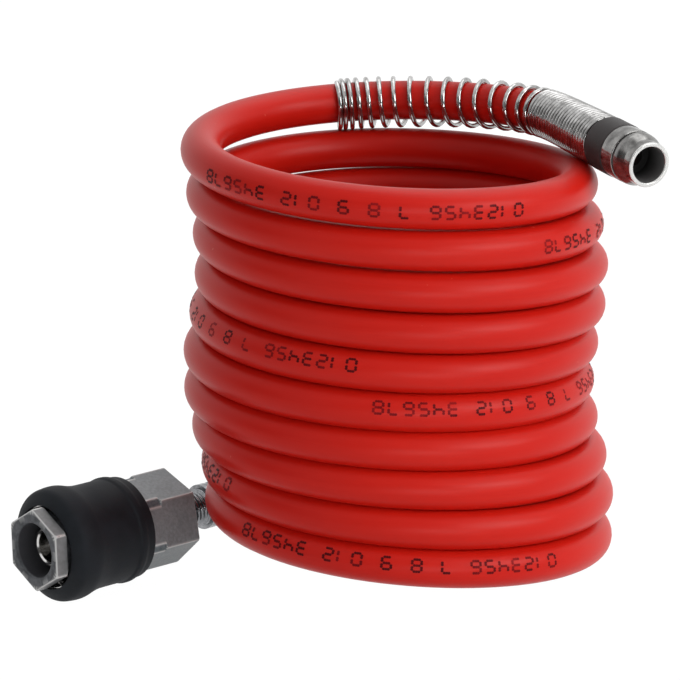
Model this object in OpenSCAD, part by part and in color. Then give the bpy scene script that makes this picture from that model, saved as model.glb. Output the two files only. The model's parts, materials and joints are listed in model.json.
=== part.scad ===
// Coiled air hose with a quick coupler on its lower end and a plug on its upper end.
// Millimetres. Z is up and the hose stands on z = 0, leaning a little on its heavy coupler.

/* [Hose] */
// Outside diameter of the hose
hose_od = 8; // [6:0.5:10]
// Bore of the hose
hose_bore = 6; // [4:0.5:7]
// Radius of the coil, measured to the middle of the hose
coil_radius = 37.5; // [34:0.1:45]
// Rise from one loop to the next
loop_pitch = 8; // [7.6:0.1:10]
// Height of the hose's centre where loop 0 would pass the front
coil_top = 85; // [80:0.5:110]
// Where the coil begins, in turns from the front of loop 0
first_turn = 0.38; // [0.36:0.01:0.5]
// Where the coil ends, in turns from the front of loop 0
last_turn = 10.5; // [6.5:0.5:10.5]
// How far the stack of loops leans sideways, for each loop
loop_lean = 0.5; // [0:0.1:1]
// How far the loops wander from side to side
loop_wander = 1.7; // [0:0.1:3]

/* [Plug end] */
// How far the plug's mouth lies outside the coil's middle line
plug_outward = 12.7; // [12:0.1:20]
// How far the plug's mouth lies in front of the coil's axis
plug_forward = 15; // [12:0.5:20]
// Drop of the plug's mouth below the height of loop 0
plug_drop = 2.8; // [2:0.1:3.4]
// Heading of the plug, from +X
plug_heading = -61.5; // [-75:0.5:-45]
// How far the plug points downward, in degrees
plug_droop = 4; // [0:0.5:12]
// Diameter of the plug's sealing tip
tip_d = 9.2; // [7:0.1:9.4]
// Bore of the plug
plug_bore = 7; // [4:0.1:7]
// Diameter of the plug's collars
collar_d = 10.9; // [9.5:0.1:11]
// Diameter of the black band behind the collars
band_d = 11.1; // [10:0.1:12]

/* [Kink guard] */
// Thickness of the guard's wire
guard_wire = 1; // [0.6:0.1:1.4]
// Gap between the hose and the close curls that hold it
grip_gap = 0.06; // [0.02:0.01:0.2]
// Gap between the hose and the open curls
open_gap = 0.04; // [0.02:0.01:0.2]
// Number of close curls
close_curls = 15; // [6:1:16]
// Number of open curls
open_curls = 16; // [8:1:20]
// Length of the close curls
close_length = 26; // [18:0.5:30]
// Length of the open curls
open_length = 48; // [30:0.5:55]

/* [Coupler] */
// How far the coupler's mouth lies outside the coil's middle line
coupler_outward = 32.6; // [30:0.1:40]
// How far the coupler's mouth lies in front of the coil's axis
coupler_forward = 10; // [6:0.5:16]
// Drop of the coupler's mouth below the end of the coil
coupler_drop = 3.15; // [2:0.05:4]
// Heading of the coupler, from +X
coupler_heading = -138.7; // [-150:0.1:-120]
// How far the coupler points downward, in degrees
coupler_droop = 2.4; // [0:0.1:10]
// Across the flats of the front hexagon
nose_flats = 15; // [14:0.1:16]
// Across the flats of the rear hexagon
body_flats = 17.2; // [17:0.1:19]
// Bore of the mouth
mouth_d = 11.1; // [10.8:0.1:11.5]
// Diameter of the grip's round front bulge
bulge_d = 23.8; // [22:0.1:26]
// Diameter of the grip behind the bulge
grip_d = 21.4; // [20.6:0.1:23]
// Length from the mouth to the back of the rear hexagon
coupler_length = 35.8; // [35.4:0.1:38]

/* [Locking] */
// Number of locking balls
ball_count = 6; // [3:1:6]
// Diameter of a locking ball
ball_d = 2.4; // [2:0.1:2.6]
// How far the balls stand in the mouth when locked, measured from its axis
lock_radius = 4.9; // [4.6:0.05:5.2]
// How far a ball moves outward
ball_travel = 0.7; // [0.4:0.05:0.8]
// How far the sleeve slides back
sleeve_travel = 1.8; // [1.2:0.1:2]

/* [Hidden] */

$fn = 72;
hose_r = hose_od / 2;
bore_r = hose_bore / 2;
// Length of a cut that runs right through
through = 60;
// Shape of the coil: where the stack stands, how its top and its waves lift, how its foot tilts
stack_shift = 1.42;
middle_loop = 5;
wander_turns = 6.2;
top_shift = 0.65;
top_turns = 2.45;
top_lift = 4.4;
lift_power = 1.5;
wave_lift = 0.4;
foot_tilt = 1.1;
foot_turn = 9.4;
// Standing: the coil leans until its foot and the coupler's bulge share the ground
rest_lean = 6.57;
rest_lift = 6.356;
centre_shift = [5.88, -0.63];
// Facets of the wound tubes
rings_per_loop = 24;
rings_per_curl = 8;
tube_sides = 6;
// Mouths of the plug and the coupler, from the coil's axis
plug_tip = [coil_radius + plug_outward, -plug_forward, coil_top - plug_drop];
coupler_nose = [-coil_radius - coupler_outward, -coupler_forward,
  coil_top - loop_pitch * last_turn - coupler_drop];
// Stations along the plug, from its mouth back towards the hose
tip_end = 2.4;
shoulder_end = 4;
groove_front = 5.1;
groove_back = 5.8;
band_front = 9.8;
plug_hose_front = 11.4;
band_back = 16.3;
plug_barb_length = 12;
plug_tube_end = 24;
plug_bore_depth = tip_end + shoulder_end;
edge_round = 0.3;
groove_depth = 0.5;
// Stations along the coupler, from its mouth back towards the hose
nose_end = 2.8;
sleeve_front = 3.7;
ball_station = 6.4;
land_back = 9.2;
spigot_front = 11.05;
lip_front = 12.2;
seat_face = 16.6;
sleeve_back = 20.8;
neck_front = 22.75;
grip_back = 22.9;
hex_front = 27;
cavity_back = 33.9;
stem_front = 34.1;
ferrule_front = 43.5;
coupler_hose_front = ferrule_front + 1;
crimp_stations = [ferrule_front + 2.5, ferrule_front + 4.9];
coupler_tube_end = 51;
// Corner radii, bevels and turns of the two hexagons
nose_corner_r = 8.6;
nose_bevel = 0.3;
nose_turn = 57.5;
body_corner_r = 9.9;
body_bevel = 0.2;
body_back_bevel = 0.3;
body_turn = 48;
// Radii inside the coupler
barrel_r = 7;
thread_r = 6.5;
spigot_r = 7.35;
cavity_r = 6;
neck_r = 9.4;
sleeve_r = 9.9;
sleeve_cavity_r = 8.9;
land_r = 7.06;
seat_bore_r = 4.75;
poppet_r = 4.1;
poppet_nose = 3.5;
stem_r = 3.95;
stem_bore_r = 2.1;
groove_r = 5.85;
groove_station = 13.5;
groove_width = 1.6;
seal_thickness = 1.5;
barrel_seal_station = 15;
barrel_seal_thickness = 0.76;
sleeve_spring_r = 8.45;
valve_spring_r = 4.6;
flange_r = 5.3;
flange_front = 17.4;
flange_back = 18.4;
ferrule_r = 4.7;
// Gap that keeps pieces of one body from running into each other
slack = 0.02;

// --- Directions and the hose's path ---

function heading_vector(heading, droop) =
  [cos(droop) * cos(heading), cos(droop) * sin(heading), -sin(droop)];
function unit(v) = v / norm(v);
function total(list, i = 0) = i >= len(list) ? 0 : list[i] + total(list, i + 1);

plug_axis = heading_vector(plug_heading, plug_droop);
coupler_axis = heading_vector(coupler_heading, coupler_droop);

// Sideways place and height of the coil's centre line at turn t
function coil_sway(t) =
  stack_shift + loop_lean * (t - middle_loop) + top_shift * max(top_turns - t, 0)
  + loop_wander * sin(360 * (t - 1.75) / wander_turns);
function coil_lift(t) = top_lift * pow(max(1 - t, 0), lift_power) + wave_lift * sin(36 * (t + 3))
  - foot_tilt * max(t - foot_turn, 0) * cos(360 * t - 90);
function coil_point(t) = [
  coil_radius * cos(360 * t - 90) + coil_sway(t),
  coil_radius * sin(360 * t - 90),
  coil_top - loop_pitch * t + coil_lift(t)
];
function coil_heading(t) = unit(coil_point(t + 0.001) - coil_point(t - 0.001));

// A smooth bend between two straight runs
bend_pull = 0.36;
function bend(from, from_dir, to, to_dir, steps) =
  let (pull = bend_pull * norm(to - from), a = from + from_dir * pull, b = to - to_dir * pull)
  [for (i = [1 : steps - 1]) let (s = i / steps)
    pow(1 - s, 3) * from + 3 * s * pow(1 - s, 2) * a + 3 * s * s * (1 - s) * b + pow(s, 3) * to];

function plug_at(station) = plug_tip - plug_axis * station;
function coupler_at(station) = coupler_nose - coupler_axis * station;

coil_steps = round((last_turn - first_turn) * rings_per_loop);
coil_points = [for (i = [0 : coil_steps])
  coil_point(first_turn + (last_turn - first_turn) * i / coil_steps)];
tail_steps = 5;
upper_bend = bend(plug_at(plug_tube_end + hose_od), -plug_axis,
  coil_point(first_turn), coil_heading(first_turn), tail_steps);
lower_bend = bend(coil_point(last_turn), coil_heading(last_turn),
  coupler_at(coupler_tube_end + hose_od), coupler_axis, tail_steps);
hose_route = concat(
  [plug_at(plug_tube_end), plug_at(plug_tube_end + hose_od)], upper_bend, coil_points,
  lower_bend, [coupler_at(coupler_tube_end + hose_od), coupler_at(coupler_tube_end)]);

// --- Tubes swept along a route ---

function route_heading(route, i) = i == 0 ? unit(route[1] - route[0])
  : i == len(route) - 1 ? unit(route[i] - route[i - 1])
  : unit(unit(route[i + 1] - route[i]) + unit(route[i] - route[i - 1]));
function ring_side(heading) = unit(cross(heading, [0, 0, 1]));
function ring_points(centre, heading, r, sides) =
  let (side = ring_side(heading), rise = cross(side, heading))
  [for (k = [0 : sides - 1])
    centre + r * (cos(360 * k / sides) * side + sin(360 * k / sides) * rise)];

// Triangles that join two rings whose first points are a and b
function band_faces(a, b, sides) = [for (k = [0 : sides - 1]) let (n = (k + 1) % sides)
  each [[a + k, a + n, b + n], [a + k, b + n, b + k]]];
function fan_faces(first, sides, flip) = [for (k = [1 : sides - 2])
  flip ? [first, first + k + 1, first + k] : [first, first + k, first + k + 1]];

module swept_tube(route, headings, r, sides) {
  count = len(route);
  points = [for (i = [0 : count - 1]) each ring_points(route[i], headings[i], r, sides)];
  faces = [
    each fan_faces(0, sides, true),
    for (i = [0 : count - 2]) each band_faces(i * sides, (i + 1) * sides, sides),
    each fan_faces((count - 1) * sides, sides, false)
  ];
  polyhedron(points, faces);
}

// --- Curls wound round a route ---

// Length along the route up to each of its points, and the route's point at a given length
function run_lengths(route, i = 0, sum = 0) = i == len(route) ? []
  : concat([sum], i < len(route) - 1
      ? run_lengths(route, i + 1, sum + norm(route[i + 1] - route[i])) : []);
function find_run(lengths, s, i = 0) =
  i >= len(lengths) - 2 || lengths[i + 1] >= s ? i : find_run(lengths, s, i + 1);
function along(route, lengths, s) =
  let (i = find_run(lengths, s), run = lengths[i + 1] - lengths[i])
  route[i] + (route[i + 1] - route[i]) * (s - lengths[i]) / run;

guard_start = plug_at(band_back + guard_wire / 2 + 0.05);
guard_route = concat([guard_start], [for (i = [0 : 14]) hose_route[i]]);
guard_lengths = run_lengths(guard_route);
guard_curls = close_curls + open_curls;
open_spread = 0.35;

// The curls' heading is taken over this length each way, so that it turns evenly
guard_reach = 5;

// Mean radii of the close and the open curls: their straight facets, too, clear the hose
function curl_radius(gap) = (hose_r + gap) / cos(180 / rings_per_curl) + guard_wire / 2;
grip_radius = curl_radius(grip_gap);
open_radius = curl_radius(open_gap);

// Distance from the band, and radius, after n curls; the open curls spread in their middle
function guard_run(n) = n < close_curls ? close_length * n / close_curls
  : let (w = (n - close_curls) / open_curls)
    close_length + open_length * (w - open_spread * sin(360 * w) / 360 * 180 / PI);
function guard_radius(n) = grip_radius
  + (open_radius - grip_radius) * min(max((guard_run(n) - 8) / 3, 0), 1);
function guard_frame(n) =
  let (s = guard_run(n),
    h = unit(along(guard_route, guard_lengths, s + guard_reach)
      - along(guard_route, guard_lengths, max(s - guard_reach, 0))),
    side = ring_side(h), rise = cross(side, h))
  [along(guard_route, guard_lengths, s), cos(360 * n) * side + sin(360 * n) * rise];

guard_frames = [for (i = [0 : guard_curls * rings_per_curl]) guard_frame(i / rings_per_curl)];
guard_points = [for (i = [0 : len(guard_frames) - 1])
  guard_frames[i][0] + guard_radius(i / rings_per_curl) * guard_frames[i][1]];

// A wire through points; outward holds the direction away from the curls' axis at each
module wire(points, outward, d) {
  last = len(points) - 1;
  rings = [for (i = [0 : last])
    let (h = unit(points[min(i + 1, last)] - points[max(i - 1, 0)]),
      across = unit(cross(h, outward[i])), out = cross(across, h))
    each [for (k = [0 : tube_sides - 1])
      points[i] + d / 2 * (cos(360 * k / tube_sides) * out + sin(360 * k / tube_sides) * across)]];
  faces = [
    each fan_faces(0, tube_sides, false),
    for (i = [0 : last - 1])
      each [for (f = band_faces(i * tube_sides, (i + 1) * tube_sides, tube_sides)) [f[0], f[2], f[1]]],
    each fan_faces(last * tube_sides, tube_sides, true)
  ];
  polyhedron(rings, faces);
}

// --- Springs of the coupler, along its own axis ---

sleeve_wire = 0.7;
sleeve_curls = 5;
valve_wire = 0.5;
valve_curls = 4;

function curl_directions(curls) = [for (i = [0 : curls * rings_per_curl])
  [cos(360 * i / rings_per_curl), sin(360 * i / rings_per_curl), 0]];
function spring_points(mean, thickness, from, to, curls) =
  let (out = curl_directions(curls), rise = (to - from - thickness) / (len(out) - 1))
  [for (i = [0 : len(out) - 1]) mean * out[i] + [0, 0, from + thickness / 2 + rise * i]];

sleeve_spring_points = spring_points(sleeve_spring_r, sleeve_wire,
  land_back + 0.05, neck_front - 0.05, sleeve_curls);
valve_spring_points = spring_points(valve_spring_r, valve_wire,
  flange_back + 0.05, cavity_back - 0.05, valve_curls);

// --- Least gap of each wound tube to itself ---

// Between points at least some steps apart; flat is the tube's thickness from top to bottom
function least_gap(points, d, apart, flat) = min([for (i = [0 : len(points) - 1 - apart])
  for (j = [i + apart : len(points) - 1])
    max(norm(points[j] - points[i]) - d, abs(points[j][2] - points[i][2]) - flat)]);

echo(hose_coil_gap = least_gap(hose_route, hose_od, rings_per_loop / 2, hose_od * cos(29)));
echo(kink_guard_gap = least_gap(guard_points, guard_wire, rings_per_curl / 2, guard_wire));
echo(sleeve_spring_gap = least_gap(sleeve_spring_points, sleeve_wire, rings_per_curl / 2, sleeve_wire));
echo(valve_spring_gap = least_gap(valve_spring_points, valve_wire, rings_per_curl / 2, valve_wire));
// Least distance between the guard's curls and the loops that they don't wrap
echo(guard_to_loops = min([for (p = guard_points) for (i = [28 : 60])
  norm(p - hose_route[i]) - guard_wire / 2 - hose_r]));

// --- Places ---

module standing() {
  translate([centre_shift[0], centre_shift[1], rest_lift])
    rotate([0, rest_lean, 0])
      children();
}

// Local +Z runs from the mouth back towards the hose
module on_plug() {
  standing()
    translate(plug_tip)
      rotate([0, 90 - plug_droop, plug_heading + 180])
        children();
}

module on_coupler() {
  standing()
    translate(coupler_nose)
      rotate([0, 90 - coupler_droop, coupler_heading + 180])
        children();
}

// A tube of revolution between two stations
module ring(inner, outer, from, to) {
  translate([0, 0, from])
    difference() {
      cylinder(r = outer, h = to - from);
      translate([0, 0, -1])
        cylinder(r = inner, h = to - from + 2);
    }
}

module o_ring(mean, thickness, station) {
  translate([0, 0, station])
    rotate_extrude()
      translate([mean, 0])
        circle(d = thickness, $fn = 24);
}

// A hexagonal bar whose corners are turned down to a radius and bevelled at both ends
module hex_bar(flats, corner_r, from, to, bevel, back_bevel, turn) {
  translate([0, 0, from])
    intersection() {
      rotate([0, 0, turn])
        cylinder(r = flats / sqrt(3), h = to - from, $fn = 6);
      rotate_extrude()
        polygon([[0, 0], [corner_r - bevel, 0], [corner_r, bevel],
          [corner_r, to - from - back_bevel], [corner_r - back_bevel, to - from], [0, to - from]]);
    }
}

// --- Hose ---

module hose_coil() {
  color("firebrick")
    standing()
      swept_tube(hose_route,
        [for (i = [0 : len(hose_route) - 1]) route_heading(hose_route, i)], hose_r, tube_sides);
}

// The hose's own end, opened over the plug's barb
module hose_plug_end() {
  color("red")
    on_plug()
      ring(bore_r, hose_r, plug_hose_front, plug_tube_end);
}

module hose_coupler_end() {
  color("red")
    on_coupler()
      ring(bore_r, hose_r, coupler_hose_front, coupler_tube_end);
}

// --- Plug end ---

// Saw teeth that let the hose on and hold it from coming off
function barb_profile(from, to, count) = [for (i = [0 : count - 1]) let (step = (to - from) / count)
  each [[bore_r + 0.2, from + i * step], [bore_r - 0.15, from + (i + 1) * step]]];

module plug_nipple() {
  barb_back = plug_hose_front + plug_barb_length;
  color("silver")
    on_plug()
      difference() {
        rotate_extrude()
          polygon(concat(
            [for (a = [0 : 15 : 90])
              [tip_d / 2 - edge_round * (1 - sin(a)), edge_round * (1 - cos(a))]],
            [[tip_d / 2, tip_end], [collar_d / 2 - 0.35, shoulder_end - 0.35],
              [collar_d / 2, shoulder_end], [collar_d / 2, groove_front],
              [collar_d / 2 - groove_depth, groove_front],
              [collar_d / 2 - groove_depth, groove_back],
              [collar_d / 2, groove_back], [collar_d / 2, band_front],
              [hose_r - 0.3, band_front], [hose_r - 0.3, plug_hose_front]],
            barb_profile(plug_hose_front, barb_back, 4), [[0, barb_back], [0, 0]]));
        translate([0, 0, -1])
          cylinder(r = stem_bore_r, h = through);
        translate([0, 0, -1])
          cylinder(r = plug_bore / 2, h = plug_bore_depth + 1);
        translate([0, 0, -0.01])
          cylinder(r1 = plug_bore / 2 + 0.3, r2 = plug_bore / 2, h = 0.3);
      }
}

module plug_band() {
  color("dimgray")
    on_plug()
      rotate_extrude()
        polygon([[hose_r + slack, band_front + 0.05], [band_d / 2 - 0.15, band_front + 0.05],
          [band_d / 2, band_front + 0.2], [band_d / 2, band_back - 0.3],
          [band_d / 2 - 0.3, band_back], [hose_r + slack, band_back]]);
}

module kink_guard() {
  color("gainsboro")
    standing()
      wire(guard_points, [for (frame = guard_frames) frame[1]], guard_wire);
}

// --- Coupler shells ---

module ball_places() {
  for (i = [0 : ball_count - 1])
    rotate([0, 0, 360 * i / ball_count])
      children();
}

module coupler_barrel() {
  color("lightsteelblue")
    on_coupler()
      difference() {
        union() {
          hex_bar(nose_flats, nose_corner_r, 0, nose_end, nose_bevel, nose_bevel, nose_turn);
          translate([0, 0, nose_end - 0.5])
            cylinder(r = barrel_r, h = spigot_front - nose_end + 0.5);
          translate([0, 0, spigot_front - 0.5])
            cylinder(r = thread_r, h = seat_face - spigot_front + 0.5);
        }
        translate([0, 0, -1])
          cylinder(r = mouth_d / 2, h = lip_front + 1);
        translate([0, 0, -0.01])
          cylinder(r1 = mouth_d / 2 + 0.4, r2 = mouth_d / 2, h = 0.4);
        translate([0, 0, lip_front - 1])
          cylinder(r = seat_bore_r, h = through);
        translate([0, 0, groove_station - groove_width / 2])
          cylinder(r = groove_r, h = groove_width);
        ball_places()
          translate([0, 0, ball_station])
            rotate([0, 90, 0])
              cylinder(d = ball_d + 0.1, h = through);
        rotate_extrude()
          translate([thread_r - barrel_seal_thickness / 2, barrel_seal_station])
            circle(d = barrel_seal_thickness + 0.1, $fn = 24);
      }
}

module coupler_body() {
  color("slategray")
    on_coupler()
      difference() {
        union() {
          translate([0, 0, spigot_front])
            cylinder(r = spigot_r, h = neck_front - spigot_front + 1);
          hex_bar(body_flats, neck_r, neck_front, hex_front + 0.5, body_bevel, body_bevel, body_turn);
          hex_bar(body_flats, body_corner_r, hex_front, coupler_length,
            body_bevel, body_back_bevel, body_turn);
        }
        translate([0, 0, spigot_front - 1])
          cylinder(r = thread_r + slack, h = seat_face - spigot_front + 1.1);
        translate([0, 0, seat_face])
          cylinder(r = cavity_r, h = cavity_back - seat_face);
        translate([0, 0, cavity_back - 1])
          cylinder(r = stem_r + slack, h = through);
        translate([0, 0, coupler_length - 0.5])
          cylinder(r1 = stem_r, r2 = stem_r + 0.6, h = 0.6);
      }
}

// The sleeve's bore tapers over the balls, so that they sink in step with its slide
module locking_sleeve() {
  taper = ball_travel / sleeve_travel;
  gap = 0.08;
  ball_line = lock_radius + ball_d / 2 + (ball_d / 2 + gap) * sqrt(1 + taper * taper);
  taper_back = ball_station + (ball_line - land_r) / taper;
  taper_front = 4;
  front_r = ball_line + taper * (ball_station - taper_front);
  color("silver")
    on_coupler()
      rotate_extrude()
        polygon([
          [sleeve_r - 0.3, sleeve_front], [sleeve_r, sleeve_front + 0.3],
          [sleeve_r, sleeve_back - 0.3], [sleeve_r - 0.3, sleeve_back],
          [sleeve_cavity_r, sleeve_back], [sleeve_cavity_r, land_back], [land_r, land_back],
          [land_r, taper_back], [front_r, taper_front], [front_r, sleeve_front]]);
}

// The rubber's front lip covers the steel sleeve's front, and its skirt reaches to the body
module sleeve_grip() {
  bulge_r = bulge_d / 2;
  lip_r = 8.6;
  inner_r = sleeve_r + slack;
  r = grip_d / 2;
  front = nose_end + 0.1;
  crest = front + 5;
  fall = 4.3;
  rounding = 2.4;
  slope = 0.3;
  ridge_front = 19.3;
  ridge_back = 21;
  ridge_slope = 0.4;
  ridge_r = r + 0.3;
  color([0.1, 0.1, 0.11])
    on_coupler()
      rotate_extrude()
        polygon(concat(
          [[lip_r, front]],
          [for (a = [0 : 15 : 90])
            [bulge_r - rounding * (1 - sin(a)), front + slope + rounding * (1 - cos(a))]],
          [for (a = [0 : 18 : 180])
            [r + (bulge_r - r) * (1 + cos(a)) / 2, crest + fall * a / 180]],
          [[r, ridge_front], [ridge_r, ridge_front + ridge_slope],
            [ridge_r, ridge_back - ridge_slope], [r, ridge_back]],
          [for (a = [0 : 30 : 90]) [r - 0.7 + 0.7 * cos(a), grip_back - 0.7 + 0.7 * sin(a)]],
          [[inner_r, grip_back], [inner_r, sleeve_front - slack], [lip_r, sleeve_front - slack]]));
}

// --- Coupler works ---

module sleeve_spring() {
  color("gold")
    on_coupler()
      wire(sleeve_spring_points, curl_directions(sleeve_curls), sleeve_wire);
}

module lock_ball(index) {
  color("white")
    on_coupler()
      rotate([0, 0, 360 * (index - 1) / ball_count])
        translate([lock_radius + ball_d / 2, 0, ball_station])
          sphere(d = ball_d, $fn = 32);
}

module mouth_seal() {
  color([0.15, 0.15, 0.15])
    on_coupler()
      o_ring(groove_r - slack - seal_thickness / 2, seal_thickness, groove_station);
}

module barrel_seal() {
  color([0.15, 0.15, 0.15])
    on_coupler()
      o_ring(thread_r - barrel_seal_thickness / 2, barrel_seal_thickness, barrel_seal_station);
}

// A hollow plunger: the plug pushes its nose, and air passes through its side slots
module valve_poppet() {
  wall_r = 3.2;
  boss_r = 2.4;
  boss_back = 20.2;
  slot_front = 13.4;
  slot_width = 1.6;
  slot_length = 2.6;
  color("goldenrod")
    on_coupler()
      difference() {
        rotate_extrude()
          polygon([[0, flange_front], [wall_r, slot_front + slot_length - 0.8],
            [wall_r, poppet_nose + 0.3], [wall_r + 0.3, poppet_nose],
            [poppet_r - 0.2, poppet_nose], [poppet_r, poppet_nose + 0.3],
            [poppet_r, flange_front], [flange_r, flange_front], [flange_r, flange_back],
            [boss_r, flange_back], [boss_r, boss_back - 0.4], [boss_r - 0.4, boss_back],
            [0, boss_back]]);
        for (a = [45, 135])
          rotate([0, 0, a])
            translate([-poppet_r - 1, -slot_width / 2, slot_front])
              cube([2 * poppet_r + 2, slot_width, slot_length]);
      }
}

module valve_seal() {
  color([0.15, 0.15, 0.15])
    on_coupler()
      ring(poppet_r + slack, flange_r, seat_face + slack, flange_front - slack);
}

module valve_spring() {
  color("gold")
    on_coupler()
      wire(valve_spring_points, curl_directions(valve_curls), valve_wire);
}

module threaded_stem() {
  color("silver")
    on_coupler()
      difference() {
        rotate_extrude()
          polygon(concat(
            [[0, stem_front], [stem_r - 0.4, stem_front], [stem_r, stem_front + 0.4],
              [stem_r, ferrule_front], [ferrule_r, ferrule_front],
              [ferrule_r, coupler_hose_front - slack]],
            barb_profile(coupler_hose_front - slack, coupler_tube_end - 0.5, 3),
            [[0, coupler_tube_end - 0.5]]));
        translate([0, 0, stem_front - 1])
          cylinder(r = stem_bore_r, h = through);
      }
}

module crimp_ferrule() {
  color("darkgray")
    on_coupler()
      difference() {
        ring(hose_r + slack, ferrule_r, coupler_hose_front, coupler_tube_end - 0.4);
        for (station = crimp_stations)
          rotate_extrude()
            translate([ferrule_r + 0.2, station])
              circle(r = 0.4, $fn = 24);
      }
}

hose_coil();
hose_plug_end();
hose_coupler_end();
plug_nipple();
plug_band();
kink_guard();
coupler_barrel();
coupler_body();
locking_sleeve();
sleeve_grip();
sleeve_spring();
lock_ball(1);  // lock_ball_1
lock_ball(2);  // lock_ball_2
lock_ball(3);  // lock_ball_3
lock_ball(4);  // lock_ball_4
lock_ball(5);  // lock_ball_5
lock_ball(6);  // lock_ball_6
mouth_seal();
barrel_seal();
valve_poppet();
valve_seal();
valve_spring();
threaded_stem();
crimp_ferrule();
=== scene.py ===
import json
import math

import bpy
import numpy as np
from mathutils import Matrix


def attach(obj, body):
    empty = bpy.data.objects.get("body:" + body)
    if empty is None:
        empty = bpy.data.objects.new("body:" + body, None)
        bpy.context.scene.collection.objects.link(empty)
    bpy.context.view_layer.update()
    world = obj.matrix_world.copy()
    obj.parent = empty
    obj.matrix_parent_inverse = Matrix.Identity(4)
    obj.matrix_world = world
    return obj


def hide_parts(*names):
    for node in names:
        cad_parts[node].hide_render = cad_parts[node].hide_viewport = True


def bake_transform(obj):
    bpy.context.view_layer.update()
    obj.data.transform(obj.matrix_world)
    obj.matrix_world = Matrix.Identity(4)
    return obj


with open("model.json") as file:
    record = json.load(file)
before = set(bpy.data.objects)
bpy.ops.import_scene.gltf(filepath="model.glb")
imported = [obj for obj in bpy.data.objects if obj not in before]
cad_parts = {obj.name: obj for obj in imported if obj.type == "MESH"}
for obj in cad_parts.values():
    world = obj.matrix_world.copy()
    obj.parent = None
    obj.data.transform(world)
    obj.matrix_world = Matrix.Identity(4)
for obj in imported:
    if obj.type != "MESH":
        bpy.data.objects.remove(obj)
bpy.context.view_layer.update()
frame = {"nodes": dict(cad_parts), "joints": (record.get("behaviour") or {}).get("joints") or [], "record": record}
print("frame loaded:", len(frame["nodes"]), "nodes")

# lengths below are millimetres in the coil's own frame, whose Z is the coil's axis
mounts = {m["name"]: m for m in frame["record"]["mounts"]}
slides = {j["name"]: j for j in frame["joints"]}

coilAxis = np.array(slides["coil_stretch"]["axis"])
lean = math.atan2(coilAxis[0], coilAxis[2])
turned = np.array([
    [math.cos(lean), 0, math.sin(lean)],
    [0, 1, 0],
    [-math.sin(lean), 0, math.cos(lean)]])
hangingPoint = (3, 37.6, 80)  # where the hanging mount lies in the coil's own frame
shift = 1000 * np.array(mounts["hanging_loop"]["pos_m"]) - turned @ np.array(hangingPoint)


def stand(points):
    # turn by the lean, move by the shift, millimetres to metres
    return (np.asarray(points, float) @ turned.T + shift) * 0.001


def fromFrame(place):
    return (1000 * np.array(place) - shift) @ turned


def unit(v):
    return v / np.linalg.norm(v, axis=-1, keepdims=True)


def ramp(x, start, width):
    # 0 up to the start, then straight up to 1 over the width
    return np.clip((x - start) / width, 0, 1)


def bell(x):
    return np.exp(-x ** 2)


def addObject(name, data, axes=None, place=None):
    made = bpy.data.objects.new(name, data)
    bpy.context.scene.collection.objects.link(made)
    if axes:
        matrix = np.eye(4)
        matrix[:3, :3] = np.stack(axes, -1)
        matrix[:3, 3] = place
        made.matrix_world = [list(row) for row in matrix.T]
    return made


camera = {
    "target": (-9.595, 0, 41.041),
    "distance": 1000,
    "elevation": 14.359,
    "roll": 1.712,
    "lens": 262.73,
    "sensor": 36,
    "farthest": 20,  # metres
}


def makeCamera():
    up, roll = math.radians(camera["elevation"]), math.radians(camera["roll"])
    ahead = np.array([0, math.cos(up), -math.sin(up)])
    across, above = np.array([1.0, 0, 0]), np.array([0, math.sin(up), math.cos(up)])
    right = math.cos(roll) * across + math.sin(roll) * above
    top = math.cos(roll) * above - math.sin(roll) * across
    data = bpy.data.cameras.new("camera")
    data.lens, data.sensor_width, data.clip_end = camera["lens"], camera["sensor"], camera["farthest"]
    place = stand(np.array(camera["target"]) - camera["distance"] * ahead)
    axes = (turned @ right, turned @ top, -turned @ ahead)
    bpy.context.scene.camera = addObject("camera", data, axes, place)


makeCamera()
print("camera set")


def gridMesh(name, points, closeAlong=False, fields=None, uv=None, sharp=38):
    # rows of points joined to quads, closed round each row; the ends are capped unless
    # the rows close on themselves, and faces are flipped if the volume comes out negative
    rows, cols = points.shape[:2]
    flat = points.reshape(-1, 3)
    index = np.arange(rows * cols).reshape(rows, cols)
    low = index if closeAlong else index[:-1]
    high = np.roll(index, -1, 0) if closeAlong else index[1:]
    quads = np.stack([low, np.roll(low, -1, 1), np.roll(high, -1, 1), high], -1).reshape(-1, 4)
    tris = np.concatenate([quads[:, [0, 1, 2]], quads[:, [0, 2, 3]]])
    centre = flat.mean(0)
    a, b, c = (flat[tris[:, k]] - centre for k in range(3))
    inward = np.einsum("ij,ij->i", a, np.cross(b, c)).sum() < 0
    if inward:
        quads = quads[:, ::-1]
    faces = quads.tolist()
    if not closeAlong:
        first, last = index[0].tolist(), index[-1].tolist()
        faces += [first, last[::-1]] if inward else [first[::-1], last]
    mesh = bpy.data.meshes.new(name)
    mesh.from_pydata(stand(flat), [], faces)
    mesh.polygons.foreach_set("use_smooth", np.ones(len(faces), bool))
    for field, values in (fields or {}).items():
        mesh.attributes.new(field, "FLOAT", "POINT").data.foreach_set(
            "value", values.astype(np.float32).ravel())
    if uv is not None:
        corners = np.zeros(len(mesh.loops), np.int32)
        mesh.loops.foreach_get("vertex_index", corners)
        layer = mesh.uv_layers.new(name="UVMap")
        layer.data.foreach_set("uv", uv.reshape(-1, 2)[corners].astype(np.float32).ravel())
    mesh.update()
    mesh.set_sharp_from_angle(angle=math.radians(sharp))
    return addObject(name, mesh)


fillet = {"steps": 6, "least": 0.015, "share": 0.48}  # share of the shorter side at a corner


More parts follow.
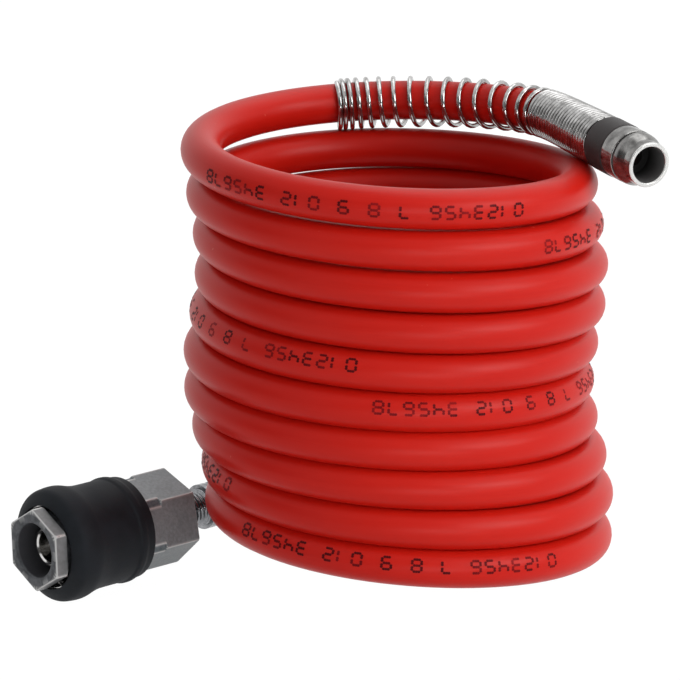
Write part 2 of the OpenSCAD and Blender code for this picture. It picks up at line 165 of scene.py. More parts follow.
def filleted(corners):
    # every corner (station, radius, rounding) of a closed profile becomes a short parabola
    given = np.array(corners, float)
    p, reach = given[:, :2], given[:, 2:]
    before, after = np.roll(p, 1, 0) - p, np.roll(p, -1, 0) - p
    back, on = (np.linalg.norm(v, axis=1, keepdims=True) for v in (before, after))
    reach = np.clip(reach, fillet["least"], fillet["share"] * np.minimum(back, on))
    a, b = p + before / back * reach, p + after / on * reach
    s = np.linspace(0, 1, fillet["steps"])[None, :, None]
    curve = (1 - s) ** 2 * a[:, None] + 2 * s * (1 - s) * p[:, None] + s ** 2 * b[:, None]
    return curve.reshape(-1, 2)


# the bevel on a hexagonal bar's ends, and the places and widths of the painted highlight on a turned piece's edges
# and of the painted shade in its bore and groove
bevelAndPaintedLight = {
    "bevel": 0.28,
    "bevelLine": 0.15,
    "bevelWidth": 0.12,
    "rimReach": 0.2,
    "rimWidth": 0.11,
    "cornerWidth": 0.16,
    "mouthShade": (0.25, 0.3),
    "farShade": (1, 5),
    "shadeEnd": 12.15,
    "grooveShade": 1.7,
}


class Fitting:
    # a turned fitting's own axes: stations run from its mouth back towards the hose
    def __init__(self, mount, setBack=0):
        out = np.array(mounts[mount]["axis"]) @ turned
        self.back = -out
        self.mouth = fromFrame(mounts[mount]["pos_m"]) + out * setBack
        self.x = unit(np.array([0, 0, -1.0]) + self.back[2] * self.back)
        self.y = np.cross(self.back, self.x)

    def at(self, station):
        return self.mouth + self.back * station

    def around(self, station, radius, angle):
        # mouth + station along the axis + radius in the direction of the angle
        station, radius, angle = np.broadcast_arrays(station, radius, angle)
        return (self.mouth + station[..., None] * self.back
                + (radius * np.cos(angle))[..., None] * self.x
                + (radius * np.sin(angle))[..., None] * self.y)

    def turnedPiece(self, name, corners, columns=96, flats=None, turn=0.0, hollow=0.0, lip=0.0,
                    groove=(0, 0), **more):
        # a closed profile turned about the axis; flats cuts it to a hexagonal bar; inside the
        # hollow's radius and in the groove the colour carries painted shade, and the bar's corners and rims and
        # the lip carry a painted highlight
        profile = filleted(corners)
        angle = np.linspace(0, 2 * math.pi, columns, endpoint=False)[None, :]
        station, radius = profile[:, :1], profile[:, 1:]
        paintedHighlight = np.zeros((len(profile), columns))
        if flats:
            phase = np.mod(angle - math.radians(turn), math.pi / 3) - math.pi / 6
            fromEnd = np.minimum(station - station.min(), station.max() - station)
            rim = np.clip(bevelAndPaintedLight["bevel"] - fromEnd, 0, bevelAndPaintedLight["bevel"])
            bar = (flats / 2 - rim) / np.cos(phase)
            corner = (math.pi / 6 - np.abs(phase)) * radius
            cut = radius > bar - 0.02
            # painted highlight along the bar's corners, along its rims where the flats end, and along the bevel
            paintedHighlight = np.maximum(
                bell((radius - bar) / bevelAndPaintedLight["rimWidth"]) * (radius > flats / 2 - bevelAndPaintedLight["rimReach"]),
                bell(corner / bevelAndPaintedLight["cornerWidth"]) * cut)
            paintedHighlight = np.maximum(paintedHighlight, bell((rim - bevelAndPaintedLight["bevelLine"]) / bevelAndPaintedLight["bevelWidth"]) * cut)
            radius = np.minimum(radius, bar)
        # painted highlight on the lip at the mouth
        paintedHighlight = np.maximum(paintedHighlight, (station < lip) * 1.0)
        # painted shade inside the bore, deeper further in, and in the groove
        paintedShade = ramp(station, *bevelAndPaintedLight["mouthShade"]) + ramp(station, *bevelAndPaintedLight["farShade"])
        paintedShade = paintedShade * (radius < hollow) * (station < bevelAndPaintedLight["shadeEnd"]) + 0 * paintedHighlight
        inGroove = (station > groove[0]) & (station < groove[1])
        paintedShade = np.maximum(paintedShade, bevelAndPaintedLight["grooveShade"] * inGroove)
        return gridMesh(name, self.around(station, radius, angle), closeAlong=True,
                        fields={"paintedHighlight": paintedHighlight, "paintedShade": paintedShade}, **more)


plugEnd = Fitting("plug_tip", setBack=1.35)
coupler = Fitting("coupler_mouth")


class Sock:
    # a socket that takes part in sums
    def __init__(self, finish, socket):
        self.finish, self.socket = finish, socket

    def sum(self, operation, a, b):
        return self.finish.node("ShaderNodeMath", {"operation": operation}, {0: a, 1: b})

    def __add__(self, other):
        return self.sum("ADD", self, other)

    def __radd__(self, other):
        return self.sum("ADD", other, self)

    def __sub__(self, other):
        return self.sum("SUBTRACT", self, other)

    def __rsub__(self, other):
        return self.sum("SUBTRACT", other, self)

    def __mul__(self, other):
        return self.sum("MULTIPLY", self, other)

    def __rmul__(self, other):
        return self.sum("MULTIPLY", other, self)

    def clamped(self):
        return self.finish.node(
            "ShaderNodeMath", {"operation": "MULTIPLY", "use_clamp": True}, {0: self, 1: 1})


class Finish:
    def __init__(self, name):
        self.material = bpy.data.materials.new(name)
        self.material.use_nodes = True
        self.tree = self.material.node_tree
        self.shader = self.tree.nodes["Principled BSDF"]

    def node(self, kind, settings=None, inputs=None, output=0):
        made = self.tree.nodes.new(kind)
        for key, value in (settings or {}).items():
            setattr(made, key, value)
        for key, value in (inputs or {}).items():
            self.put(made.inputs[key], value)
        return Sock(self, made.outputs[output])

    def put(self, socket, value):
        if isinstance(value, Sock):
            self.tree.links.new(value.socket, socket)
        elif isinstance(value, tuple) and len(value) == 3 and socket.type == "RGBA":
            socket.default_value = (*value, 1)
        else:
            socket.default_value = value

    def set(self, **values):
        for key, value in values.items():
            self.put(self.shader.inputs[key.replace("_", " ")], value)

    def noise(self, scale, detail, vector=None):
        return self.node("ShaderNodeTexNoise", {}, {
            "Vector": vector or self.node("ShaderNodeTexCoord", output=3),
            "Scale": scale, "Detail": detail})

    def between(self, value, start, end):
        # 0 where the value is at its start and 1 at its end
        return self.node("ShaderNodeMapRange", {}, {0: value, 1: start, 2: end})

    def mix(self, factor, a, b):
        return self.node("ShaderNodeMix", {"data_type": "RGBA"}, {0: factor, 6: a, 7: b}, 2)

    def attribute(self, name):
        return self.node("ShaderNodeAttribute", {"attribute_name": name}, {}, 2)

    def bump(self, height, strength, distance):
        self.set(Normal=self.node("ShaderNodeBump", {}, {
            "Height": height, "Strength": strength, "Distance": distance}))
        return self


def linear(*rgb):
    # display value to light value, by the usual curve
    v = np.array(rgb) / 255
    return tuple(float(x) for x in np.where(v <= 0.04045, v / 12.92, ((v + 0.055) / 1.055) ** 2.4))


def hoseFinish():
    # satin polyurethane: a slow drift of the red, faint drawn lines along it, a few light specks
    f = Finish("hose red")
    uv = f.node("ShaderNodeUVMap", {"uv_map": "UVMap"})
    along = f.node("ShaderNodeMapping", {}, {"Vector": uv, "Scale": (0.6, 26, 1)})
    lines = f.noise(5, 4, along)
    drift = f.noise(28, 2)
    base = f.mix(drift, (0.55, 0.008, 0.005), (0.65, 0.013, 0.006))
    base = f.mix((lines - 0.5) * 0.5 + 0.12, base, (0.72, 0.026, 0.01))
    grit = f.noise(1600, 2)
    specks = f.between(f.noise(620, 1), 0.8, 0.83)
    base = f.mix(specks * 0.4, base, linear(232, 120, 100))
    f.set(Base_Color=base, Roughness=0.3 + 0.14 * lines, Specular_IOR_Level=0.19, IOR=1.5)
    return f.bump(lines * 0.6 + grit * 0.25, 0.1, 0.0004).material


def markFinish():
    # worn ink: it thins here and there and lets the red through
    f = Finish("hose ink")
    worn = f.between(f.noise(160, 2), 0.4, 0.66)
    base = f.mix(worn, linear(84, 10, 14), linear(150, 22, 24))
    f.set(Base_Color=base, Roughness=0.5, Specular_IOR_Level=0.1)
    return f.material


def metalFinish(name, dark, bright, rough, grain, lines=0.0, depth=0.00012, highlightShare=0.0,
                metal=1.0, bore=None):
    # worked metal: fine grain in colour and gloss; a painted highlight on its edges, which are also smoother, and
    # painted shade and a rougher finish inside its bore
    f = Finish(name)
    grit = f.noise(grain, 4)
    cloud = f.noise(130, 2)
    tone = f.between(grit * 0.6 + cloud * 0.4, 0.38, 0.62)
    base = f.mix(tone, linear(*dark), linear(*bright))
    gloss = rough + 0.16 * (grit - 0.5)
    if highlightShare:
        # painted highlight: the edges get a light colour, less gloss roughness and less metal
        paintedHighlight = (f.attribute("paintedHighlight") * highlightShare).clamped()
        base = f.mix(paintedHighlight, base, linear(236, 236, 234))
        gloss = gloss * (1 - 0.45 * paintedHighlight)
        metal = metal + (0.3 - metal) * paintedHighlight
    if bore:
        # painted shade: it runs from 0 outside to 1 in the mouth and 2 far in, where the colour goes darker still
        paintedShade = f.attribute("paintedShade")
        base = f.mix(paintedShade - 1, f.mix(paintedShade, base, linear(*bore)), linear(26, 26, 26))
        gloss = gloss + 0.3 * paintedShade
        metal = metal * (1 - 0.85 * paintedShade.clamped())
    f.set(Base_Color=base, Metallic=metal, Roughness=gloss, Specular_IOR_Level=0.25)
    height = grit * (1 - lines) + f.noise(grain * 1.7, 1) * lines
    return f.bump(height, 0.35, depth).material


def rubberFinish(name, dark, bright, rough):
    # moulded rubber: dull, with soft scuffs that catch the light
    f = Finish(name)
    scuff = f.noise(240, 5)
    fine = f.noise(1400, 2)
    base = f.mix(scuff, linear(*dark), linear(*bright))
    f.set(Base_Color=base, Roughness=rough + 0.2 * (scuff - 0.5), Specular_IOR_Level=0.2)
    return f.bump(fine * 0.5 + scuff * 0.5, 0.4, 0.00015).material


finishes = {
    "hose": hoseFinish(),
    "ink": markFinish(),
    "plated": metalFinish(
        "plated steel", (190, 188, 186), (224, 223, 221), rough=0.16, lines=0.5, grain=500),
    "wire": metalFinish(
        "spring wire", (146, 145, 144), (200, 199, 198), rough=0.15, grain=700, metal=0.97),
    # the edge shares give a painted highlight and the bore colours a painted shade
    "turned": metalFinish(
        "turned steel", (96, 95, 94), (160, 159, 157), rough=0.18, lines=0.5, grain=500,
        highlightShare=0.85, metal=0.85, bore=(112, 110, 110)),
    "steel": metalFinish(
        "blasted steel", (84, 94, 99), (116, 126, 130), rough=0.5, grain=1500, depth=0.0002,
        highlightShare=0.8, metal=0.3),
    "nose": metalFinish(
        "brushed steel", (62, 64, 67), (98, 100, 104), rough=0.45, lines=0.6, grain=900,
        highlightShare=0.9, metal=0.3, bore=(70, 70, 74)),
    "dark": metalFinish("dark steel", (120, 121, 124), (160, 161, 164), rough=0.2, grain=900),
    "band": rubberFinish("black band", (48, 45, 45), (72, 68, 68), rough=0.5),
    "grip": rubberFinish("grip rubber", (9, 12, 16), (36, 40, 46), rough=0.65),
    "seal": rubberFinish("seal rubber", (18, 18, 18), (30, 30, 30), rough=0.5),
    "balls": metalFinish("polished steel", (196, 196, 198), (222, 222, 224), rough=0.1, grain=900),
}
print("materials made")


def dress(made, finish, body=None, stands=()):
    made.data.materials.clear()
    made.data.materials.append(finishes[finish])
    if body:
        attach(made, body)
    if stands:
        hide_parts(*stands)
    return made


hose = {
    "outside": 8.0,
    "radius": 37.5,
    "pitch": 8.0,
    "top": 85.0,
    "turns": (0.38, 10.5),
    "centre": 1.42,
    "centreTurn": 5,
    "swayPerLoop": 0.5,
    "wander": 1.7,
    "wanderFrom": 1.75,
    "wanderTurns": 6.2,
    "topShift": 0.65,
    "topShiftTo": 2.45,
    "topLift": 4.4,
    "topLiftTo": 1,
    "topLiftPower": 1.5,
    "wave": 0.4,
    "waveFrom": -3,
    "waveTurns": 5,
    "footTilt": 1.1,
    "footTiltFrom": 9.4,
    "sags": ((0.5, 9.15, 0.16), (0.2, 8.15, 0.16), (0.35, 1.38, 0.13)),  # depth, turn, reach
    "bendPull": 0.36,
    "plugStation": 11.5,
    "couplerStation": 44.6,
    "straightTo": (32.0, 59.0),
    "ringsPerLoop": 96,
    "rings": {"head": 12, "bend": 16, "tail": 8},
    "sides": 32,
    "swell": ((0.02, 41, 0), (0.015, 17, 1)),  # size, length, start
    "patternLength": 100,
}


def coilPoint(t):
    # a circle that sinks by the pitch each turn; it sways sideways, lifts at the top, tilts at
    # the foot, and sags a little where the loops rest on each other
    a = 2 * math.pi * t - math.pi / 2
    sway = hose["centre"] + hose["swayPerLoop"] * (t - hose["centreTurn"])
    sway = sway + hose["topShift"] * np.clip(hose["topShiftTo"] - t, 0, None)
    sway = sway + hose["wander"] * np.sin(2 * math.pi * (t - hose["wanderFrom"]) / hose["wanderTurns"])
    height = hose["top"] - hose["pitch"] * t
    height = height + hose["wave"] * np.sin(math.pi * (t - hose["waveFrom"]) / hose["waveTurns"])
    height = height + hose["topLift"] * np.clip(hose["topLiftTo"] - t, 0, None) ** hose["topLiftPower"]
    height = height - hose["footTilt"] * np.clip(t - hose["footTiltFrom"], 0, None) * np.cos(a)
    for depth, where, reach in hose["sags"]:
        height = height - depth * bell((t - where) / reach)
    return np.stack([hose["radius"] * np.cos(a) + sway, hose["radius"] * np.sin(a), height], -1)


def bend(start, startWay, end, endWay, steps):
    # a cubic curve that leaves and arrives along the given ways
    pull = hose["bendPull"] * np.linalg.norm(end - start)
    s = np.linspace(0, 1, steps)[1:-1, None]
    return ((1 - s) ** 3 * start + 3 * s * (1 - s) ** 2 * (start + startWay * pull)
            + 3 * s * s * (1 - s) * (end - endWay * pull) + s ** 3 * end)


def hosePath():
    # from the plug to the coupler: points, how far each has come, and its turn
    firstTurn, lastTurn = hose["turns"]
    t = np.linspace(firstTurn, lastTurn, int((lastTurn - firstTurn) * hose["ringsPerLoop"]) + 1)
    coil = coilPoint(t)
    nearby = 1e-4
    ways = [unit(coilPoint(np.array(k + nearby)) - coilPoint(np.array(k - nearby)))
            for k in hose["turns"]]
    plugStraight, couplerStraight = hose["straightTo"]
    rings = hose["rings"]
    head = plugEnd.at(np.linspace(hose["plugStation"], plugStraight, rings["head"])[:, None])
    tail = coupler.at(np.linspace(couplerStraight, hose["couplerStation"], rings["tail"])[:, None])
    upper = bend(head[-1], plugEnd.back, coil[0], ways[0], rings["bend"])
    lower = bend(coil[-1], ways[1], tail[0], -coupler.back, rings["bend"])
    points = np.concatenate([head, upper, coil, lower, tail])
    turns = np.concatenate([np.full(len(head) + len(upper), firstTurn), t,
                            np.full(len(lower) + len(tail), lastTurn)])
    run = np.concatenate([[0], np.cumsum(np.linalg.norm(np.diff(points, axis=0), axis=1))])
    return points, run, turns


path, pathRun, pathTurns = hosePath()


def ringAxes(points):
    # the way ahead, level sideways, and the third direction across both
    ahead = unit(np.gradient(points, axis=0))
    side = unit(np.cross(ahead, [0, 0, 1.0]))
    return ahead, side, np.cross(side, ahead)


def alongHose(run):
    # point and directions at lengths along the hose, by straight interpolation
    axes = (path, *ringAxes(path))
    return [np.stack([np.interp(run, pathRun, a[:, k]) for k in range(3)], -1) for a in axes]


def followStretch(made):
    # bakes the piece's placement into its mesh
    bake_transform(made)
    return made


def makeHose():
    ahead, side, rise = ringAxes(path)
    angle = np.linspace(0, 2 * math.pi, hose["sides"], endpoint=False)[None, :, None]
    # the wall swells and thins by a few hundredths, slowly
    swell = sum(size * np.sin(pathRun / length + start) for size, length, start in hose["swell"])
    radius = (hose["outside"] / 2 + swell)[:, None, None]
    points = path[:, None] + radius * (np.cos(angle) * side[:, None] + np.sin(angle) * rise[:, None])
    # the pattern's second coordinate is mirrored round the hose, so it has no seam
    share = np.broadcast_to(pathRun[:, None] / hose["patternLength"], points.shape[:2])
    turn = np.broadcast_to(np.abs(angle[..., 0] / math.pi - 1), points.shape[:2])
    made = gridMesh("hose", points, uv=np.stack([share, turn], -1), sharp=60)
    dress(made, "hose", stands=("hose_coil", "hose_plug_end", "hose_coupler_end"))
    return followStretch(made)


hosePiece = makeHose()
print("hose made,", round(float(pathRun[-1])), "mm")

# dotted digits printed along the hose
marks = {
    "firstTurn": 1.106,
    "repeat": 303.6,
    "count": 8,
    "digits": "0123456 7 8 9 012 345678",
    "spacing": 2.7,
    "dotStep": (0.42, 0.4),
    "middleRow": 3,
    "dot": 0.29,
    "dotCorners": 6,
    "lift": 0.045,
    "tilt": ((1, 0.03), (2.4, 0.14), (5, 0.4), (10, 0.33)),
}

segments = {
    "a": [(1, 6), (2, 6), (3, 6)], "b": [(4, 5), (4, 4)], "c": [(4, 2), (4, 1)],
    "d": [(1, 0), (2, 0), (3, 0)], "e": [(0, 2), (0, 1)], "f": [(0, 5), (0, 4)],
    "g": [(1, 3), (2, 3), (3, 3)],
}
strokes = ("abcdef", "bc", "abged", "abgcd", "fgbc", "afgcd", "afgecd", "abc", "abcdefg", "abfgcd")


def makeMarks():
    stepAlong, stepUp = marks["dotStep"]
    dots = np.array([(place * marks["spacing"] + x * stepAlong, (y - marks["middleRow"]) * stepUp)
                     for place, digit in enumerate(marks["digits"]) if digit != " "
                     for stroke in strokes[int(digit)] for x, y in segments[stroke]])
    inCoil = slice(40, -40)  # where the turn grows from ring to ring
    first = np.interp(marks["firstTurn"], pathTurns[inCoil], pathRun[inCoil])
    starts = first + marks["repeat"] * np.arange(marks["count"])
    run = (starts[:, None] - dots[None, :, 0]).ravel()
    height = np.broadcast_to(-dots[None, :, 1], (len(starts), len(dots))).ravel()
    height = height / (hose["outside"] / 2) + np.interp(
        np.interp(run, pathRun, pathTurns), *zip(*marks["tilt"]))
    # a hexagon at each dot, laid on the wall a hair above it
    angle = np.arange(marks["dotCorners"]) * 2 * math.pi / marks["dotCorners"]
    run = run[:, None] + marks["dot"] * np.cos(angle)
    tilt = height[:, None] + marks["dot"] * np.sin(angle) / (hose["outside"] / 2)
    centre, ahead, side, rise = alongHose(run.ravel())
    tilt = tilt.ravel()[:, None]
    reach = hose["outside"] / 2 + marks["lift"]
    points = centre + reach * (np.cos(tilt) * side + np.sin(tilt) * rise)
    faces = np.arange(len(points)).reshape(-1, marks["dotCorners"])
    mesh = bpy.data.meshes.new("hoseMarks")
    mesh.from_pydata(stand(points), [], faces[:, ::-1].tolist())
    mesh.update()
    made = dress(addObject("hoseMarks", mesh), "ink")
    followStretch(made)


makeMarks()
print("marks made")

# radii, sag and lean are pairs of a curl's number and the value there
guard = {
    "wire": 1.0,
    "firstStation": 16.85,
    "closeCurls": 21,
    "endSpacing": 0.35,
    "closeSpacing": 1.057,
    "radii": ((0, 4.98), (6, 4.94), (15, 4.72), (22, 4.6), (25, 4.6), (31, 4.88), (38, 4.9)),
    "sag": ((22, 0), (25, 0.05), (31, 0.32), (38, 0.34)),
    "openSpacing": (
        2.0, 3.2, 4.3, 4.4, 4.4, 3.87, 3.95, 3.96, 3.93, 3.55, 3.01, 2.62, 2.1, 1.75, 1.29, 1.11),
    "startAngle": 1.4,
    "lean": ((25, 0), (32, 0.45), (38, 0.95)),
    "ringsPerCurl": 28,
    "sides": 10,
}


def wireMesh(name, points, out, thickness, sides):
    # a round wire along points; out points away from the curls' axis
    ahead = unit(np.gradient(points, axis=0))
    across = unit(np.cross(ahead, out))
    out = np.cross(across, ahead)
    angle = np.linspace(0, 2 * math.pi, sides, endpoint=False)[None, :, None]
    around = np.cos(angle) * out[:, None] + np.sin(angle) * across[:, None]
    return gridMesh(name, points[:, None] + thickness / 2 * around, sharp=60)


def makeGuard():
    spacing = np.array([guard["endSpacing"], *[guard["closeSpacing"]] * guard["closeCurls"],
                        *guard["openSpacing"]])
    steps = len(spacing) * guard["ringsPerCurl"]
    curl = np.arange(steps + 1) / guard["ringsPerCurl"]
    advance = np.interp(curl, np.arange(len(spacing)) + 0.5, spacing) / guard["ringsPerCurl"]
    run = guard["firstStation"] - hose["plugStation"] + np.concatenate([[0], np.cumsum(advance[:-1])])
    radius = np.interp(curl, *zip(*guard["radii"]))
    turn = 2 * math.pi * curl + guard["startAngle"]
    # the open curls lean: their front halves sit further from the plug
    run = run + np.interp(curl, *zip(*guard["lean"])) * np.cos(turn)
    centre, _, side, rise = alongHose(run)
    # and they hang on the hose, so they stand off below it
    centre = centre - np.interp(curl, *zip(*guard["sag"]))[:, None] * rise
    out = np.sin(turn)[:, None] * rise - np.cos(turn)[:, None] * side
    made = wireMesh("kinkGuard", centre + radius[:, None] * out, out, guard["wire"], guard["sides"])
    return dress(made, "wire", "plug_end", ("kink_guard",))


guardPiece = makeGuard()
print("kink guard wound")

plug = {"tip": 4.6, "bore": 3.6, "collar": 5.45, "band": 5.55, "innerBore": 2.1}


def makePlug():
    tip, collar, bore = plug["tip"], plug["collar"], plug["bore"]
    # the nipple carries painted shade in its bore and groove and a painted highlight on its lip
    nipple = plugEnd.turnedPiece("plugNipple", [
        (0, bore + 0.25, 0.12), (0, tip - 0.22, 0.1), (0.22, tip, 0.12), (2.35, tip, 0.1),
        (2.45, tip + 0.05, 0.1), (3.9, collar - 0.12, 0.3), (5.05, collar, 0.2),
        (5.1, collar - 0.5, 0.08), (5.8, collar - 0.5, 0.08), (5.85, collar, 0.2),
        (9.8, collar, 0.2), (9.8, 3.75, 0.05), (23.4, 3.1, 0.1), (23.4, plug["innerBore"], 0.1),
        (6.4, plug["innerBore"], 0.05), (6.4, bore, 0.05), (0.35, bore, 0.2)],
        columns=128, hollow=bore + 0.2, lip=0.24, groove=(5.13, 5.77))
    dress(nipple, "turned", "plug_end", ("plug_nipple",))
    band = plugEnd.turnedPiece("plugBand", [
        (9.86, 4.06, 0.03), (9.86, plug["band"] - 0.1, 0.15), (10.1, plug["band"], 0.2),
        (16.0, plug["band"], 0.3), (16.3, plug["band"] - 0.35, 0.15), (16.3, 4.06, 0.03)],
        columns=128)
    return nipple, dress(band, "band", "plug_end", ("plug_band",))


plugPieces = makePlug()
print("plug turned")

shell = {
    "noseFlats": 15.0, "noseCorner": 8.6, "noseTurn": 57.5,
    "bodyFlats": 17.2, "bodyCorner": 9.9, "neck": 9.4, "bodyTurn": 48.0,
    "mouth": 5.55, "bulge": 11.9, "grip": 10.7, "length": 35.8,
}


def makeCoupler():
    r = shell
    nose, corner, neck, length = r["noseCorner"], r["bodyCorner"], r["neck"], r["length"]
    # the barrel carries painted shade inside its mouth, and both hexagons a painted highlight on their edges
    barrel = coupler.turnedPiece("couplerBarrel", [
        (0, r["mouth"] + 0.35, 0.15), (0, 7.3, 0.02), (0, nose - 0.35, 0.1), (0.3, nose, 0.15),
        (2.6, nose, 0.15), (2.8, nose - 0.3, 0.1), (2.8, 7.0, 0.1), (11, 7.0, 0.1),
        (11, 6.5, 0.1), (16.6, 6.5, 0.1), (16.6, 4.75, 0.1), (12.2, 4.75, 0.1),
        (12.2, r["mouth"], 0.1), (0.4, r["mouth"], 0.2)],
        columns=240, flats=r["noseFlats"], turn=r["noseTurn"], hollow=r["mouth"] + 0.2)
    dress(barrel, "nose", "coupler_end", ("coupler_barrel",))
    body = coupler.turnedPiece("couplerBody", [
        (11.05, 7.35, 0.1), (22.75, 7.35, 0.1), (22.75, neck - 0.15, 0.05), (22.9, neck, 0.1),
        (26.95, neck, 0.03), (27.2, corner, 0.12), (length - 0.35, corner, 0.15),
        (length, corner - 0.35, 0.15), (length, 4.4, 0.2), (length - 0.4, 4, 0.1),
        (33.9, 3.98, 0.05), (33.9, 6, 0.1), (16.62, 6, 0.1), (16.62, 6.54, 0.05),
        (11.05, 6.54, 0.05)], columns=240, flats=r["bodyFlats"], turn=r["bodyTurn"])
    dress(body, "steel", "coupler_end", ("coupler_body",))
    bulge, waist = r["bulge"], r["grip"]
    grip = coupler.turnedPiece("sleeveGrip", [
        (3.67, 8.62, 0.05), (2.92, 8.62, 0.1), (3.2, 9.6, 0.6), (4.3, 11.5, 1.1),
        (6.2, bulge - 0.1, 1.2), (8.2, bulge - 0.05, 1.4), (10.3, waist + 0.5, 1.6),
        (12.4, waist + 0.1, 1.2), (15, waist + 0.05, 1), (19.1, waist + 0.05, 0.6),
        (19.6, waist + 0.35, 0.35), (20.7, waist + 0.35, 0.4), (21.4, waist, 0.5),
        (23.05, waist - 0.15, 0.15), (23.3, waist - 0.4, 0.1), (23.3, 9.93, 0.02),
        (3.67, 9.93, 0.05)],
        columns=160)
    dress(grip, "grip", "sleeve", ("sleeve_grip",))


makeCoupler()

stem = {
    "radius": 3.95,
    "depth": 0.42,
    "pitch": 0.9,
    "bore": 2.1,
    "thread": (35.9, 43.2),
    "fade": 0.5,
    "flank": 1.35,
    "crest": 0.1,
    "front": (34.15, 34.3),
    "cut": (35.6, 43.5),
    "step": 0.065,
    "sides": 64,
}


def makeStem():
    # a thread: the radius falls and rises once per pitch along, and the pattern turns once per pitch
    start, back = stem["cut"]
    front = stem["front"]
    station = np.concatenate([front, np.arange(start, back, stem["step"]), [back]])
    angle = np.linspace(0, 2 * math.pi, stem["sides"], endpoint=False)
    wave = np.abs(np.mod(station[:, None] / stem["pitch"] - angle / (2 * math.pi), 1) * 2 - 1)
    begin, end = stem["thread"]
    fade = ramp(station, begin, stem["fade"]) * ramp(-station, -end, stem["fade"])
    groove = np.clip(wave * stem["flank"] - stem["crest"], 0, 1) * fade[:, None]
    outer = stem["radius"] - stem["depth"] * groove
    # then the flange, the barb and the way back through the bore
    close = np.array([[back, 4.7], [44.48, 4.7], [44.48, 3.1], [50.5, 2.95],
                      [50.5, stem["bore"]], [front[0], stem["bore"]]])
    stations = np.concatenate([station, close[:, 0]])[:, None]
    radii = np.concatenate([outer, np.repeat(close[:, 1:], stem["sides"], 1)])
    made = gridMesh("threadedStem", coupler.around(stations, radii, angle[None, :]),
                    closeAlong=True, sharp=50)
    dress(made, "dark", "coupler_end", ("threaded_stem",))


makeStem()


def makeFerrule():
    # a crimped sleeve with two rolled grooves
    made = coupler.turnedPiece("crimpFerrule", [
        (44.52, 4.06, 0.03), (44.52, 4.7, 0.15), (45.5, 4.7, 0.2), (45.8, 4.36, 0.2),
        (46.2, 4.36, 0.2), (46.5, 4.7, 0.2), (47.9, 4.7, 0.2), (48.2, 4.36, 0.2),
        (48.6, 4.36, 0.2), (48.9, 4.7, 0.2), (50.6, 4.7, 0.2), (50.6, 4.06, 0.03)])
    dress(made, "dark", "coupler_end", ("crimp_ferrule",))


makeFerrule()

springRings = {"perCurl": 36, "sides": 8}
springs = {
    "sleeveSpring": {
        "node": "sleeve_spring", "body": "sleeve",
        "mean": 8.45, "wire": 0.7, "from": 9.25, "to": 22.7, "curls": 5},
    "valveSpring": {
        "node": "valve_spring", "body": "valve",
        "mean": 4.6, "wire": 0.5, "from": 18.45, "to": 33.85, "curls": 4},
}


def makeSpring(name, s):
    # an even helix about the coupler's axis
    share = np.linspace(0, 1, s["curls"] * springRings["perCurl"] + 1)
    turn = 2 * math.pi * s["curls"] * share
    station = s["from"] + s["wire"] / 2 + (s["to"] - s["from"] - s["wire"]) * share
    points = coupler.around(station, s["mean"], turn)
    out = points - coupler.at(station[:, None])
    made = wireMesh(name, points, out, s["wire"], springRings["sides"])
    dress(made, "wire", stands=(s["node"],))
    ends = (coupler.at(s["from"]), coupler.at(s["to"]))
    followStretch(made)


for springName, springFacts in springs.items():
    makeSpring(springName, springFacts)
print("coupler built")

# solids carried over, with their finish
for nodeName, finish in {
    "locking_sleeve": "plated", "mouth_seal": "seal", "barrel_seal": "seal", "valve_seal": "seal",
    "valve_poppet": "plated", **{f"lock_ball_{k}": "balls" for k in range(1, 7)},
}.items():
    dress(frame["nodes"][nodeName], finish)

studio = {
    "floor": 0.8,
    "floorReach": 30,
    "white": 1.08,
    "whiteShare": (0.92, 0.8),  # for the camera and for mirror reflections
    "world": 0.32,
    "front": 0.08,
    "frontEdge": (-0.1, 0.3),
    "ceilingEdge": (0.5, 0.7),
    "aim": (0, 0, 0.05),
    "lamps": {
        "key": {"place": (0.84, -0.44, 0.42), "size": (0.7, 0.4), "power": 4.6},
        "fill": {"place": (-0.75, -0.8, 0.45), "size": (0.5, 0.7), "power": 0.5},
        "top": {"place": (0.35, 0.3, 0.95), "size": (1.1, 0.7), "power": 3.2},
        "low": {"place": (0.32, -0.9, 0.06), "size": (0.6, 0.1), "power": 1.5},
    },
}


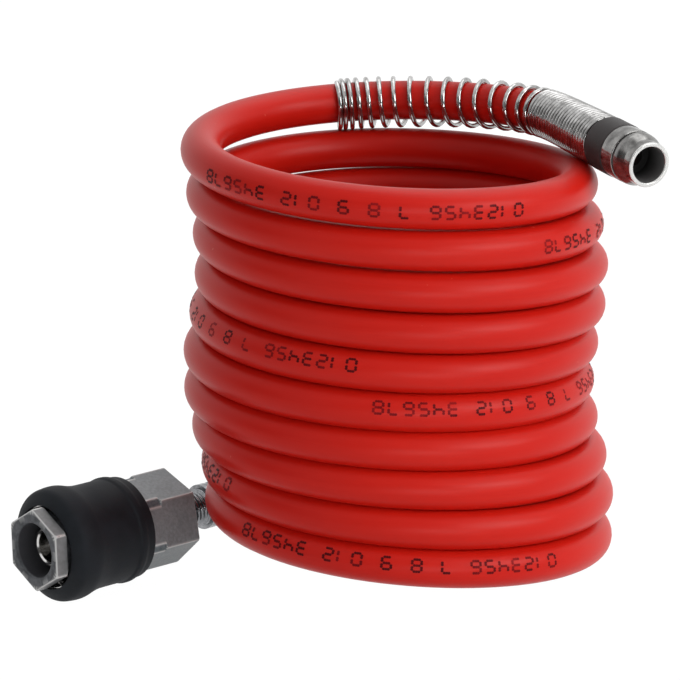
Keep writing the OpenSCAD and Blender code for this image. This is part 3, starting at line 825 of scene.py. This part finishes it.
def makeFloor():
    far = studio["floorReach"]
    mesh = bpy.data.meshes.new("floor")
    mesh.from_pydata([(-far, -far, 0), (far, -far, 0), (far, far, 0), (-far, far, 0)], [], [(0, 1, 2, 3)])
    made = addObject("floor", mesh)
    f = Finish("pale floor")
    f.set(Base_Color=(studio["floor"],) * 3, Roughness=0.9)
    # the camera and mirror reflections see the floor almost white, with a trace of the shadow
    seen, mirrored = f.node("ShaderNodeLightPath"), f.node("ShaderNodeLightPath", output=3)
    white = f.node("ShaderNodeEmission", {}, {"Color": (1.0, 1.0, 1.0), "Strength": studio["white"]})
    shader = Sock(f, f.shader.outputs[0])
    toCamera, toMirror = studio["whiteShare"]
    share = seen * toCamera + mirrored * toMirror
    blend = f.node("ShaderNodeMixShader", {}, {0: share, 1: shader, 2: white})
    f.tree.links.new(blend.socket, f.tree.nodes["Material Output"].inputs["Surface"])
    mesh.materials.append(f.material)


def makeWorld():
    # pale to matt surfaces; the camera sees it white, and so do mirror reflections, except for
    # the darker front of the studio
    world = bpy.data.worlds.new("studio")
    bpy.context.scene.world = world
    world.use_nodes = True
    tree = world.node_tree

    def ranged(value, start, end, low, high):
        made = tree.nodes.new("ShaderNodeMapRange")
        for number, given in enumerate((value, start, end, low, high)):
            if isinstance(given, bpy.types.NodeSocket):
                tree.links.new(given, made.inputs[number])
            else:
                made.inputs[number].default_value = given
        return made.outputs[0]

    rays = tree.nodes.new("ShaderNodeLightPath")
    way = tree.nodes.new("ShaderNodeSeparateXYZ")
    tree.links.new(tree.nodes.new("ShaderNodeTexCoord").outputs["Generated"], way.inputs[0])
    behind = ranged(way.outputs["Y"], *studio["frontEdge"], studio["front"], 1.0)
    mirrored = ranged(way.outputs["Z"], *studio["ceilingEdge"], behind, 1.0)
    shade = ranged(rays.outputs["Is Glossy Ray"], 0.0, 1.0, studio["world"], mirrored)
    white = ranged(rays.outputs["Is Camera Ray"], 0.0, 1.0, shade, 1.0)
    tree.nodes["Background"].inputs["Color"].default_value = (1, 1, 1, 1)
    tree.links.new(white, tree.nodes["Background"].inputs["Strength"])


def makeLamp(name, lamp):
    place = np.array(lamp["place"], float)
    data = bpy.data.lights.new(name, "AREA")
    data.shape, data.energy = "RECTANGLE", lamp["power"]
    data.size, data.size_y = lamp["size"]
    back = unit(place - np.array(studio["aim"]))
    side = unit(np.cross([0, 0, 1.0], back))
    addObject(name, data, (side, np.cross(back, side), back), place)


makeFloor()
makeWorld()
for lampName, lamp in studio["lamps"].items():
    makeLamp(lampName, lamp)
bpy.context.scene.view_settings.view_transform = "Standard"
print("studio lit")
